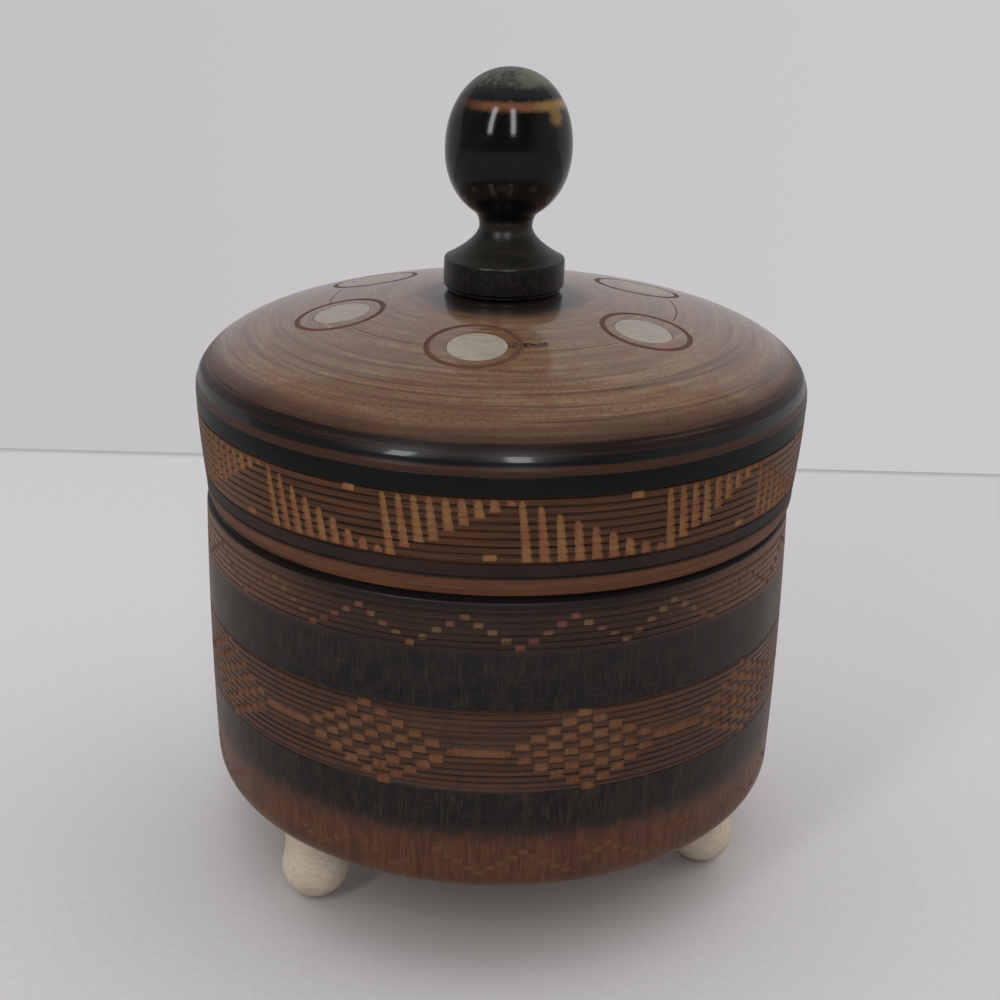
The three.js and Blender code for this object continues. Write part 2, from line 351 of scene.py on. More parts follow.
def sheetOf(name, width, depth, place, paint):
    bm = bmesh.new()
    bmesh.ops.create_grid(bm, x_segments=1, y_segments=1, size=0.5)
    bmesh.ops.scale(bm, vec=(width, depth, 1), verts=bm.verts)
    bmesh.ops.transform(bm, matrix=place, verts=bm.verts)
    toObject(name, bm, [paint])


def buildStage():
    floorPaint, shader = material("paleFloor")
    at = wire("TexCoord").outputs["Object"]
    pale = ramp(noiseOf(at, 900.0), *shot["floor"])
    far = shot["wallDistance"]  # painted shade: a dark line on the floor where it meets the wall
    line = vectorCalc("DOT_PRODUCT", at, {1: (math.tan(math.radians(-shot["wallTurn"])), 1, 0)})["Value"]
    pale = layer(pale, line, far - shot["lineWidth"], far, *shot["wallFootShade"])
    away = vectorCalc("LENGTH", at)["Value"]  # painted shadow: the floor darker and warmer round and under the box
    pale = layer(pale, away, *shot["floorShade"])
    glossy = product(wire("LightPath").outputs["Is Glossy Ray"], 1 - shot["mirrorFloor"])
    plug(shader, {"Base Color": tint(glossy, pale, (0, 0, 0, 1)), "Roughness": 0.6,
                  "Specular IOR Level": 0.2})
    wallPaint, shader = material("paleWall")
    across = parted(wire("TexCoord").outputs["Object"])[0]
    path = wire("LightPath").outputs  # seen, but it neither lights the box nor shades it
    dim = calc("MULTIPLY_ADD", path["Is Glossy Ray"], shot["mirrorWall"] - 1, 1.0)
    # painted light: the wall glows, a little brighter towards the right
    strength = product(dim, rise(across, *shot["wallGlow"]))
    glow = wire("Emission", {"Color": shade(shot["wall"]), "Strength": strength}).outputs[0]
    seen = calc("MAXIMUM", calc("MAXIMUM", path["Is Camera Ray"], path["Is Glossy Ray"]),
                path["Is Transmission Ray"])
    facing = calc("SUBTRACT", 1.0, wire("NewGeometry").outputs["Backfacing"])
    clear = wire("BsdfTransparent").outputs[0]
    mixed = wire("MixShader", {0: product(seen, facing), 1: clear, 2: glow}).outputs[0]
    plug(wallPaint.node_tree.nodes["Material Output"], {"Surface": mixed})
    wallPaint.node_tree.nodes.remove(shader)
    at = Matrix.Translation((0, far, 0)) @ Matrix.Rotation(math.radians(shot["wallTurn"]), 4, "Z")
    sheetOf("floor", shot["sheetWidth"], shot["floorDepth"],
            at @ Matrix.Translation((0, -shot["floorDepth"] / 2, 0)), floorPaint)
    upright = Matrix.Translation((0, 0, shot["wallHeight"] / 2)) @ Matrix.Rotation(math.radians(90), 4, "X")
    sheetOf("wall", shot["sheetWidth"], shot["wallHeight"], at @ upright, wallPaint)


def buildLight():
    world = bpy.data.worlds.new("room")
    bpy.context.scene.world = world
    world.use_nodes = True
    bench["tree"] = world.node_tree
    ways = parted(wire("TexCoord").outputs["Generated"])
    path = wire("LightPath").outputs
    sky = rise(calc("MULTIPLY_ADD", ways[2], shot["skyTilt"], ways[1]), *shot["sky"])
    sky = product(sky, calc("MULTIPLY_ADD", ways[0], shot["skyToRight"], 1.0))
    sky = calc("ADD", sky, rise(calc("ABSOLUTE", ways[0]), *shot["skySides"]))
    mirrored = rise(ways[1], *shot["mirrorBack"])
    for way, low, high, most in shot["mirrors"]:  # what the polish shows
        mirrored = calc("MAXIMUM", mirrored, rise(ways[way], low, high, 0.0, most))
    level = wire("Mix", {0: path["Is Glossy Ray"], 2: sky, 3: mirrored}).outputs[0]
    level = wire("Mix", {0: path["Is Camera Ray"], 2: level, 3: shade(shot["wall"])[1]}).outputs[0]
    plug(world.node_tree.nodes["Background"], {"Strength": level, "Color": shot["skyColour"]})
    up = math.radians(shot["windowHeight"])
    for n, side in enumerate(shot["windows"]):
        a = math.radians(side)
        way = Vector((math.sin(a) * math.cos(up), -math.cos(a) * math.cos(up), math.sin(up)))
        data = bpy.data.lights.new("window_%d" % (n + 1), "AREA")
        data.shape, (data.size, data.size_y) = "RECTANGLE", shot["windowSize"]
        data.energy, data.color = shot["windowPower"], shot["windowColour"]
        made = placed(data.name, data)
        made.location = Vector(shot["windowAim"]) + way * shot["windowDistance"]
        made.rotation_euler = way.to_track_quat("Z", "Y").to_euler()


buildCamera()
buildStage()
buildLight()
bpy.context.scene.view_settings.view_transform = "Standard"
print("stage, light and camera ready")


# Sizes that pieces share

fit = {
    "segments": 288,
    "rimRadius": 48.4, "bowlRadius": 42, "spigotRadius": 44.6, "recessRadius": 45.15,
    "overcut": 0.3,  # how far a cutter stands out of the side
    "edgeBreak": 0.5, "boxShift": -0.35,  # the lid sits a little to the right in its play
    "lidZ": 65.3, "ledgeZ": 65.0, "undersideZ": 14.8,
}


# The body

body = {
    "bowlFloor": 9, "bowlCorner": 5, "spigotHeight": 6,
    "cornerWidth": 7.2, "cornerHeight": 5.4, "belly": 0.3, "bellyPull": 0.95, "mouthOut": 0.3,
    "zigzagLines": (57.55, 6, 1.05), "diamondLines": (34.55, 13, 1.04),
    "lineDepth": 0.17, "lineWidth": 0.42,
    "borders": (63.1, 47.4, 33.9),
    "socketRadius": 3.3, "socketDepth": 6, "footPitch": 39, "footAngles": (-49, 71, 191),
    "zigzag": {"periods": 19, "start": 13.9, "top": 62.35, "step": 1.15, "size": (1.6, 1.0, 0.32)},
    "lowZigzag": {"periods": 23, "start": 6.0, "top": 23.4, "step": 0.95, "size": (1.8, 1.1, 0.14),
                  "worn": 0.2},  # the same row again, rubbed nearly away, round the bottom
    "diamonds": ((-59, 0.16), (-21.2, 0.36), (16.7, 0.12), (54, 0.16), (89.3, 0.2), (124.6, 0.1),
                 (159.9, 0.24), (195.2, 0.14), (230.5, 0.2), (265.7, 0.12)),  # place and lean of each
    "diamondRows": (1, 2, 3, 4, 5, 4, 5, 4, 3, 2, 1),
    "diamondTop": 46.6, "diamondPitch": 1.225, "chipSpacing": 5.6, "chip": (2.35, 1.4, 0.4),
    "barReach": 5.6, "barHeight": 40.55, "barSize": (1.5, 0.4),
}


def bodySide():
    base = fit["undersideZ"]
    corner = (fit["rimRadius"] + body["belly"], base + body["cornerHeight"])
    mouth = (fit["rimRadius"] + body["mouthOut"], fit["ledgeZ"] - 0.65)
    pull = (fit["rimRadius"] + body["bellyPull"], (corner[1] + fit["ledgeZ"]) / 2)
    return [corner] + bend(corner, pull, mouth, 40)


def bodyOutline(side):
    base, brk = fit["undersideZ"], fit["edgeBreak"]
    corner = side[0]
    foot = (corner[0] - body["cornerWidth"], base)
    bowl, ledge = fit["bowlRadius"], fit["ledgeZ"]
    top = ledge + body["spigotHeight"]
    floor = base + body["bowlFloor"]
    lines = [first + i * step for first, count, step in (body["zigzagLines"], body["diamondLines"])
             for i in range(count)]
    points = [(0, base), (foot[0] / 2, base), foot]
    points += bend(foot, (corner[0], base), corner, 14)[:-1]
    points += scored(side, lines + list(body["borders"]), body["lineDepth"], body["lineWidth"])
    mouth = points[-1]
    points += bend(mouth, (mouth[0] - 0.05, mouth[1] + 0.35), (mouth[0] - 0.45, mouth[1] + 0.42), 4)
    points += [(mouth[0] - 0.9, mouth[1] + 0.45), (mouth[0] - 1.2, ledge)]
    spigot = fit["spigotRadius"]
    points += [(spigot + 0.3, ledge), (spigot, ledge + 0.3), (spigot, top - brk)]
    points += bend((spigot, top - brk), (spigot, top), (spigot - brk, top), 3)
    points += [(bowl + brk, top)]
    points += bend((bowl + brk, top), (bowl, top), (bowl, top - brk), 3)
    wallFoot = (bowl, floor + body["bowlCorner"])
    points += [(bowl, lerp(top, floor, t)) for t in (0.25, 0.5, 0.75)]
    points += [wallFoot] + bend(wallFoot, (bowl, floor), (bowl - body["bowlCorner"], floor), 10)
    points += [(bowl * 0.6, floor), (bowl * 0.3, floor), (0, floor)]
    return points


def chip(bm, place, width, height, depth):  # a wedge, deepest at its top where the chisel stopped
    cube = bmesh.ops.create_cube(bm, size=1)["verts"]
    for vert in cube:
        x, y, z = vert.co
        inner = y > 0
        vert.co.x = x * width * (0.84 if inner else 1.12) * (1.0 if z < 0 else 0.93)
        vert.co.y = (depth if z > 0 else depth * 0.42) if inner else -fit["overcut"]
        vert.co.z = z * height * (0.88 if inner else 1.06)
    bmesh.ops.transform(bm, matrix=place, verts=cube)


def sideChip(bm, side, angle, z, width, height, depth):
    z += chance.uniform(-0.07, 0.07)
    place = onSide(angle + chance.uniform(-0.1, 0.1), radiusAt(side, z), z)
    place = place @ Matrix.Rotation(math.radians(chance.uniform(-3, 3)), 4, "Y")
    chip(bm, place, width * chance.uniform(0.9, 1.08), height * chance.uniform(0.9, 1.06),
         depth * chance.uniform(0.8, 1.15))


def bar(bm, side, start, end, z, height, depth, steps=10):  # a long flat cut with rounded ends
    out = -fit["overcut"]
    sections = []
    for i in range(steps + 1):
        t = i / steps
        full = min(1.0, 0.35 + 6 * min(t, 1 - t))
        half = height / 2 * full
        spot = onSide(lerp(start, end, t), radiusAt(side, z), z + 0.12 * (0.5 - t))
        sections.append([spot @ Vector(p) for p in (
            (0, out, -half * 1.1), (0, out, half * 1.1),
            (0, depth * full, half * 0.8), (0, depth * 0.6 * full, -half * 0.8))])
    loft(bm, sections)


def zigzag(bm, side, periods, start, top, step, size, worn=0.0):  # eight chips a period, down and up
    for n in range(periods):
        for i in range(8):
            if worn and chance.random() < worn:
                continue
            sideChip(bm, side, start + (n + i / 8) * 360 / periods, top - min(i, 8 - i) * step, *size)


def buildBody(materials):
    side = bodySide()
    blank = toObject("carved_body", turn(bodyOutline(side), fit["segments"]), materials)
    cuts = bmesh.new()
    reach = body["socketDepth"] + 1
    for angle in body["footAngles"]:
        spot = onSide(angle, body["footPitch"], fit["undersideZ"] - 1 + reach / 2)
        drill(cuts, spot, body["socketRadius"], reach, 32)
    carve(blank, cuts, 0)
    cuts = bmesh.new()
    zigzag(cuts, side, **body["zigzag"])
    zigzag(cuts, side, **body["lowZigzag"])
    diamonds = body["diamonds"]
    following = [angle for angle, lean in diamonds[1:]] + [diamonds[0][0] + 360]
    for (middle, lean), after in zip(diamonds, following):
        for row, count in enumerate(body["diamondRows"]):
            z = body["diamondTop"] - row * body["diamondPitch"]
            for i in range(count):
                angle = middle + (i - (count - 1) / 2) * body["chipSpacing"] + (row - 5) * lean
                sideChip(cuts, side, angle, z, *body["chip"])
        gap = (middle + after) / 2
        bar(cuts, side, gap - body["barReach"], gap + body["barReach"], body["barHeight"], *body["barSize"])
    carve(blank, cuts, 1)
    finished(blank, "body", "box", fit["boxShift"])


# The lid

lid = {
    "skirtHeight": 18.4, "height": 33.5, "crownRise": 5.3, "crownEdge": 38, "crownArc": 138.9,
    "bead": 3.1, "skirtFlare": 1.6,
    "crownWall": 6, "ceilingCorner": 8, "recessDepth": 6.3, "boreRadius": 4.3, "seatRadius": 9.95,
    "gougeLines": (72.35, 8, 1.24), "lineDepth": 0.2, "lineWidth": 0.46,
    "borders": (70.95, 81.15, 84.2, 85.5),
    "groups": ((-65.4, 2.5), (-41.6, 2.66), (-18.1, 2.5), (4.75, 2.95), (30.2, 2.45), (52.5, 2.5)),
    "otherGroups": 10, "otherStep": 21.97, "otherSpacing": 2.45,
    "gougeFoot": 71.25, "gougeHead": 81.0,
    "standing": (9.7, 8.7, 7.4, 6.4, 5.3, 4.3, 3.0, 2.0, 1.2),
    "hanging": (9.9, 8.4, 7.4, 6.9, 5.2, 4.2, 3.0, 2.0, 1.0),
    "gougeDepth": 0.42, "gougeChip": 1.22, "gougeWidths": (1.7, 1.0),
    "gougeLean": math.degrees(math.tan(math.radians(6)) / 49),  # a slant of six degrees, per millimetre up
    "loneChip": (2.2, 1.0, 0.3), "loneUnder": (6.7, 71.9), "loneOver": (6.15, 80.55),  # beside each group
    "discAngles": (-8, 54, 118, 176, 233, 288), "discPitch": 26.8, "pocketRadius": 4.62,
    "pocketDepth": 2.5,
    "rings": ((-9.4, 26.35), (55.4, 26.96), (118.8, 25.96), (176.5, 26.8), (235.1, 26.94), (288.2, 27.16)),
    "ring": (7.0, 0.9, 0.2), "circle": (28.2, 0.22, 0.06),
    "ringHalf": 14.9,  # the thin circle stops this many degrees from the middle of each ring
    "dashes": ((6.8, 14.2, 26.6, 0.75, 0.5), (1.4, 4.0, 26.0, 1.2, 0.6)),
}


def crownZ(r, arc):
    return fit["lidZ"] + lid["height"] - lid["crownArc"] + math.sqrt(arc ** 2 - r ** 2)


def onCrown(angle, away):  # a place on the crown, +Z square to it
    arc = lid["crownArc"]
    return onSide(angle, away, crownZ(away, arc)) @ Matrix.Rotation(math.asin(away / arc), 4, "X")


def lidSide():
    low, rim, flare = fit["lidZ"], fit["rimRadius"], lid["skirtFlare"]
    grooveTop = (rim + flare * 0.35, low + lid["bead"] + 0.5)
    pull = (rim + flare * 0.9, low + lid["skirtHeight"] * 0.6)
    widest = (rim + flare, low + lid["skirtHeight"])
    side = [grooveTop] + bend(grooveTop, pull, widest, 24)
    edge = lid["crownEdge"]
    slope = edge / math.sqrt(lid["crownArc"] ** 2 - edge ** 2)
    edgeZ = low + lid["height"] - lid["crownRise"]
    shoulder = bend(widest, (widest[0], edgeZ - (widest[0] - edge) * slope), (edge, edgeZ), 26)
    return side, shoulder


def lidOutline(side, shoulder):
    low, brk, rim, flare = fit["lidZ"], fit["edgeBreak"], fit["rimRadius"], lid["skirtFlare"]
    first, count, step = lid["gougeLines"]
    lines = [first + i * step for i in range(count)] + [z for z in lid["borders"] if z < side[-1][1]]
    start = (rim - 1.1, low)
    beadTop = (rim + flare * 0.32, low + lid["bead"])
    points = [start, (rim - 0.75, low + 0.22)]
    points += bend((rim - 0.5, low + 0.28), (rim, low + 0.3), (rim, low + brk + 0.2), 4)
    points += bend((rim, low + brk + 0.2), (rim + flare * 0.34, low + lid["bead"] / 2), beadTop, 6)
    points += [(beadTop[0] - 0.28, low + lid["bead"] + 0.25)]
    points += scored(side, lines, lid["lineDepth"], lid["lineWidth"])
    for r, z in shoulder:
        near = [line for line in lid["borders"] if abs(line - z) < 0.3]
        points.append((r - (0.14 if near else 0), z))
    edge, seat, inner = lid["crownEdge"], lid["seatRadius"], lid["crownArc"] - lid["crownWall"]
    points += [(r, crownZ(r, lid["crownArc"])) for r in [lerp(edge, seat, i / 16) for i in range(1, 17)]]
    bore, bowl = lid["boreRadius"], fit["bowlRadius"]
    ceiling = bowl - lid["ceilingCorner"]
    points += [(bore, points[-1][1])]
    points += [(r, crownZ(r, inner)) for r in [lerp(bore, ceiling, i / 10) for i in range(11)]]
    foot = points[-1]
    points += bend(foot, (bowl, foot[1]), (bowl, foot[1] - lid["ceilingCorner"]), 10)
    recess = low + lid["recessDepth"]
    points += [(bowl, recess + 0.2), (bowl + 0.2, recess), (fit["recessRadius"], recess),
               (fit["recessRadius"], low + brk), (fit["recessRadius"] + brk, low)]
    return points


def gouge(bm, side, angle, foot, length, depth):  # one column of small chips, wider at its foot
    count = max(1, round(length / lid["gougeChip"]))
    sections = []
    for i in range(count):
        for t, share, deep in ((0.0, 1.08, 0.5), (0.93, 0.86, 1.0)):
            along = (i + t) / count
            z = foot + length * along
            wide = lerp(*lid["gougeWidths"], along * min(1.0, length / 9)) * share * chance.uniform(0.95, 1.05)
            if i == count - 1 and t > 0:
                wide *= 0.7
            cut = depth * deep * chance.uniform(0.85, 1.1)
            spot = onSide(angle - lid["gougeLean"] * (z - foot), radiusAt(side, z), z)
            outer, inner, out = wide * 0.58, wide * 0.38, -fit["overcut"]
            sections.append([spot @ Vector(p) for p in ((-outer, out, 0), (outer, out, 0),
                                                        (inner, cut, 0), (-inner, cut, 0))])
    loft(bm, sections)


def ringOf(bm, place, radius, width, depth, steps=96):
    drop = radius ** 2 / 2 / lid["crownArc"]
    half = width / 2 * (1 + 0.3 / depth)
    before = set(bm.verts)
    spin(bm, [(radius - half, 0.3 - drop), (radius + half, 0.3 - drop), (radius, -depth - drop)], steps)
    bmesh.ops.transform(bm, matrix=place, verts=[v for v in bm.verts if v not in before])


def scratchOf(bm, start, end, away, width, depth, steps=14):  # a shallow groove along the crown
    sections = []
    for i in range(steps + 1):
        spot = onCrown(lerp(start, end, i / steps), away)
        full = min(1.0, 0.3 + 5 * min(i, steps - i) / steps)
        half = width / 2 * full * (1 + 0.2 / depth)
        sections.append([spot @ Vector(p) for p in ((0, -half, 0.2), (0, half, 0.2), (0, 0, -depth * full))])
    loft(bm, sections)


def buildLid(materials):
    side, shoulder = lidSide()
    blank = toObject("carved_lid", turn(lidOutline(side, shoulder), fit["segments"]), materials)
    cuts = bmesh.new()
    for angle in lid["discAngles"]:
        spot = onCrown(angle, lid["discPitch"]) @ Matrix.Translation((0, 0, 0.5 - lid["pocketDepth"] / 2))
        drill(cuts, spot, lid["pocketRadius"], lid["pocketDepth"] + 1, 64)
    carve(blank, cuts, 0)
    cuts = bmesh.new()
    for angle, away in lid["rings"]:
        ringOf(cuts, onCrown(angle, away), *lid["ring"])
    carve(blank, cuts, 2)
    cuts = bmesh.new()
    starts = [angle for angle, away in lid["rings"]]
    for start, end in zip(starts, starts[1:] + [starts[0] + 360]):
        scratchOf(cuts, start + lid["ringHalf"], end - lid["ringHalf"], *lid["circle"])
    for dash in lid["dashes"]:  # old damage beside the front ring
        scratchOf(cuts, *dash)
    carve(blank, cuts, 2)
    cuts = bmesh.new()
    groups = list(lid["groups"])
    groups += [(groups[-1][0] + (n + 1) * lid["otherStep"], lid["otherSpacing"])
               for n in range(lid["otherGroups"])]
    for n, (start, spacing) in enumerate(groups):  # they hang from the top and stand on the foot in turn
        hangs = n % 2 == 0
        for i, length in enumerate(lid["hanging"] if hangs else lid["standing"]):
            low = lid["gougeHead"] - length if hangs else lid["gougeFoot"]
            gouge(cuts, side, start + i * spacing, low, length, lid["gougeDepth"])
        along, z = lid["loneUnder"] if hangs else lid["loneOver"]
        sideChip(cuts, side, start + spacing * along, z, *lid["loneChip"])
    carve(blank, cuts, 1)
    finished(blank, "lid", "cover")


# The knob

knob = {
    "segments": 96, "radius": 10.1, "upper": 12.4, "lower": 11.4, "centre": 22.5, "leave": 0.87,
    "fullness": 1.06, "flarePull": (4.6, 7.9),
    "neckRadius": 4.25, "neckHeight": 10.1, "baseRadius": 9.75, "baseTop": 5.2,
    "ringInset": 0.5, "tenonRadius": 4, "tenonFoot": -5.7, "seat": 98.74,
    "lean": 0.018,
}


def buildKnob(materials):
    k = knob
    wide = k["baseRadius"]
    ring = wide - k["ringInset"]
    neck = (k["neckRadius"], k["neckHeight"])
    egg = []
    for i in range(41):
        a = lerp(-math.asin(k["leave"]), math.pi / 2, i / 40)
        half = k["lower"] if a < 0 else k["upper"]
        full = 1 / k["fullness"]  # a little blunter than an ellipse
        egg.append((0 if i == 40 else k["radius"] * math.cos(a) ** full,
                    k["centre"] + half * math.copysign(abs(math.sin(a)) ** full, a)))
    base = (wide - 0.3, k["baseTop"])
    points = [(0, k["tenonFoot"]), (k["tenonRadius"] - 0.5, k["tenonFoot"]),
              (k["tenonRadius"], k["tenonFoot"] + 0.5), (k["tenonRadius"], 0), (ring - 0.15, 0),
              (ring, 0.15), (ring, 0.35), (ring, 0.5), (wide - 0.2, 0.62), (wide, 0.85),
              (wide + 0.03, 2.8), (wide, k["baseTop"] - 0.5)]
    points += bend(points[-1], (wide, k["baseTop"]), base, 3)
    points += bend(base, k["flarePull"], neck, 14)
    points += bend(neck, (k["neckRadius"], k["neckHeight"] + 1.6), egg[0], 6) + egg[1:]
    bm = turn([(r, z + k["seat"]) for r, z in points], k["segments"])
    for vert in bm.verts:  # it was set by eye and leans a little to the right
        vert.co.x += max(0.0, vert.co.z - k["seat"]) * k["lean"]
    finished(toObject("turned_knob", bm, materials), "knob", "cover")


# Inlays and feet

disc = {"radius": 4.55, "thickness": 2.2, "edge": 0.12, "segments": 64}


def buildInlays(materials):
    for n, angle in enumerate(lid["discAngles"]):
        r, t = disc["radius"], disc["thickness"]
        points = [(0, -t), (r, -t), (r, -disc["edge"] - 0.02)]
        points += bend(points[-1], (r, -0.06), (r - disc["edge"], -0.05), 3)
        points += [(r * s, 0.03 - 0.075 * s * s) for s in (0.75, 0.5, 0.25, 0)]
        bm = turn(points, disc["segments"])
        bmesh.ops.transform(bm, matrix=onCrown(angle, lid["discPitch"]), verts=bm.verts)
        made = toObject("bone_inlay_%d" % (n + 1), bm, materials)
        finished(made, "inlay_%d" % (n + 1), "cover")


foot = {
    "radius": 5.65, "flat": 1.6, "roundEnd": 0.35, "waist": 4.9, "collar": 5.1, "collarHeight": 1.2,
    "height": 14.5, "tenonRadius": 3, "tenonLength": 5.4, "segments": 64,
}


def buildFeet(materials):
    for name, angle in zip(("foot_left", "foot_right", "foot_back"), body["footAngles"]):
        f = foot
        centre = math.sqrt(f["radius"] ** 2 - f["flat"] ** 2)
        start = math.asin(-centre / f["radius"])
        points = [(0, 0)]
        for i in range(17):
            a = lerp(start, f["roundEnd"], i / 16)
            points.append((f["radius"] * math.cos(a), max(0, centre + f["radius"] * math.sin(a))))
        waist = (f["waist"], (centre + f["height"]) / 2 + 1)
        shoulder = (f["collar"], f["height"] - f["collarHeight"])
        points += bend(points[-1], (f["waist"] - 0.05, waist[1] - 1.2), waist, 5)
        points += bend(waist, (f["waist"] + 0.1, shoulder[1] - 0.2), shoulder, 5)
        tip = f["height"] + f["tenonLength"]
        points += [(f["collar"], f["height"]), (f["tenonRadius"], f["height"]),
                   (f["tenonRadius"], tip - 0.4), (f["tenonRadius"] - 0.4, tip), (0, tip)]
        bm = turn(points, f["segments"])
        bmesh.ops.transform(bm, matrix=onSide(angle, body["footPitch"], 0), verts=bm.verts)
        finished(toObject("bone_" + name, bm, materials), name, "box",
                 fit["boxShift"])


# Finishes

woodSheen = {"Sheen Weight": 0.2, "Sheen Roughness": 0.4, "Sheen Tint": (0.85, 0.66, 0.55, 1)}

# Each look holds its colours, mostly after where they begin and end and how strong they get,
# and its noises: (turns, fineness, detail, seed) for grain, (scale, detail, roughness) for the rest

bodyLook = {
    "streak": (55.0, 0.1), "turnLines": (1.4, 2.2, 3.0, 7.0), "scratch": (120.0, 0.32, 3.0, 3.0),
    "cloud": (0.11, 3.0), "blotch": (0.35, 4.0, 0.6), "wander": 0.5, "ragged": (3.0, 4.0),
    "bare": (0.35, 0.65, (72, 42, 23), (92, 55, 32)), "bareBlotch": (0.45, 0.6, 0.45, (74, 40, 28)),
    "bareScratch": (0.52, 0.7, 0.4, (108, 74, 54)),
    "brown": (0.35, 0.65, (66, 39, 23), (86, 52, 31)), "brownBlotch": (0.4, 0.65, 0.5, (56, 34, 25)),
    "upper": (55.0, 58.0), "stain": (38, 24, 17), "stainSides": (0.35, 0.85, 0.7, 0.0),
    "paintedSideLight": (112, 74, 48), "paintedSideLightSides": (0.45, 0.9, 0.0, 0.6),
    "black": (0.35, 0.65, (12, 10, 8), (20, 16, 13)), "blackTop": (50.5, 53.5, 0.4, (34, 30, 27)),
    "blackScratch": (0.5, 0.68, 0.4, (64, 53, 45)), "blackBlotch": (0.45, 0.65, 0.35, (40, 33, 28)),
    "blackEnd": (56.0, 58.2), "weave": (62, 53, 47), "weaveLines": (25.5, 1.04, 0.34),
    "weaveWear": (0.42, 0.62, 0.0, 0.15), "lowFade": (24.2, 28.4), "lowStreak": (0.5, 0.72, 0.35, (70, 48, 33)),
    "scored": (27, 17, 13), "scoredWidth": 0.36, "scoredWear": (0.3, 0.6, 0.7, 0.4),
    "zigzagBand": (57.2, 63.4, 0.1), "diamondBand": (34.2, 47.35, 0.1),
    "mouth": (26, 17, 13), "mouthHeights": (63.2, 63.9), "mouthSides": (0.3, 0.8, 1.0, 0.3),
    "seam": (64.5, 64.6, 1.0, (10, 7, 6)), "outside": (45.2, 46.2), "underside": (14.9, 15.6, 1.0, 0.0),
    "inside": (0.3, 0.7, (120, 84, 58), (142, 104, 74)), "roughness": (0.3, 0.7, 0.4, 0.52),
}


def bodyFinish():
    look = bodyLook
    made, shader = material("stainedBody")
    at = use(turned)
    z = at["Height"]
    sideways = calc("ABSOLUTE", parted(at["Around"])[0])
    streak, turnLines, scratch = [grain(at, z, *look[name]) for name in ("streak", "turnLines", "scratch")]
    cloud, blotch = [noiseOf(at["Place"], *look[name]) for name in ("cloud", "blotch")]
    wander = swing(cloud, look["wander"])
    drift = calc("ADD", z, wander)
    middleBorder, lowBorder = body["borders"][1:]
    top = fit["ledgeZ"] + 10  # above all that shows of the body

    def mark(lower, upper, soft):
        return bandOf(z, lower, upper, soft, wander)

    bare = ramp(streak, *look["bare"])
    bare = layer(bare, blotch, *look["bareBlotch"])
    bare = layer(bare, scratch, *look["bareScratch"])
    brown = ramp(turnLines, *look["brown"])
    brown = layer(brown, blotch, *look["brownBlotch"])
    upper = rise(z, *look["upper"])  # stained dark, the stain fading towards the sides, and painted side light making the sides paler
    for name in ("stain", "paintedSideLight"):
        brown = tint(product(upper, rise(sideways, *look[name + "Sides"])), brown, shade(look[name]))
    black = ramp(cloud, *look["black"])
    black = layer(black, z, *look["blackTop"])
    black = layer(black, scratch, *look["blackScratch"])
    black = layer(black, blotch, *look["blackBlotch"])
    weave = product(linesOf(drift, *look["weaveLines"]), rise(blotch, *look["weaveWear"]))
    black = tint(weave, black, shade(look["weave"]))

    colour = tint(mark(lowBorder, top, 0.2), bare, brown)
    zigzagGround = tint(rise(drift, *look["blackEnd"]), black, colour)
    colour = tint(mark(middleBorder, top, 0.25), colour, zigzagGround)
    ragged = calc("ADD", swing(blotch, look["ragged"][0]), swing(streak, look["ragged"][1]))
    low = product(rise(calc("ADD", z, ragged), *look["lowFade"]), mark(0.0, lowBorder, 0.2))
    colour = tint(low, colour, layer(black, streak, *look["lowStreak"]))
    masks = [product(linesOf(z, body[row + "Lines"][0], body[row + "Lines"][2], look["scoredWidth"]),
                     mark(*look[row + "Band"])) for row in ("zigzag", "diamond")]
    cut = product(calc("MAXIMUM", *masks), rise(turnLines, *look["scoredWear"]))
    colour = tint(cut, colour, shade(look["scored"]))
    # painted shade: a dark band just under the lid's rim, strongest in front
    edge = product(rise(z, *look["mouthHeights"]), rise(sideways, *look["mouthSides"]))
    colour = tint(edge, colour, shade(look["mouth"]))
    # painted shade: the body's edge at the gap under the lid painted near-black
    colour = layer(colour, z, *look["seam"])
    outer = calc("MAXIMUM", rise(at["Radius"], *look["outside"]), rise(z, *look["underside"]))
    colour = tint(outer, ramp(streak, *look["inside"]), colour)
    height = calc("ADD", product(streak, 0.6), product(turnLines, 0.4))
    plug(shader, {"Base Color": colour, "Roughness": rise(cloud, *look["roughness"]),
                  "Specular IOR Level": 0.4, "Normal": bumped(height, 0.35, 0.00012), **woodSheen})
    return made


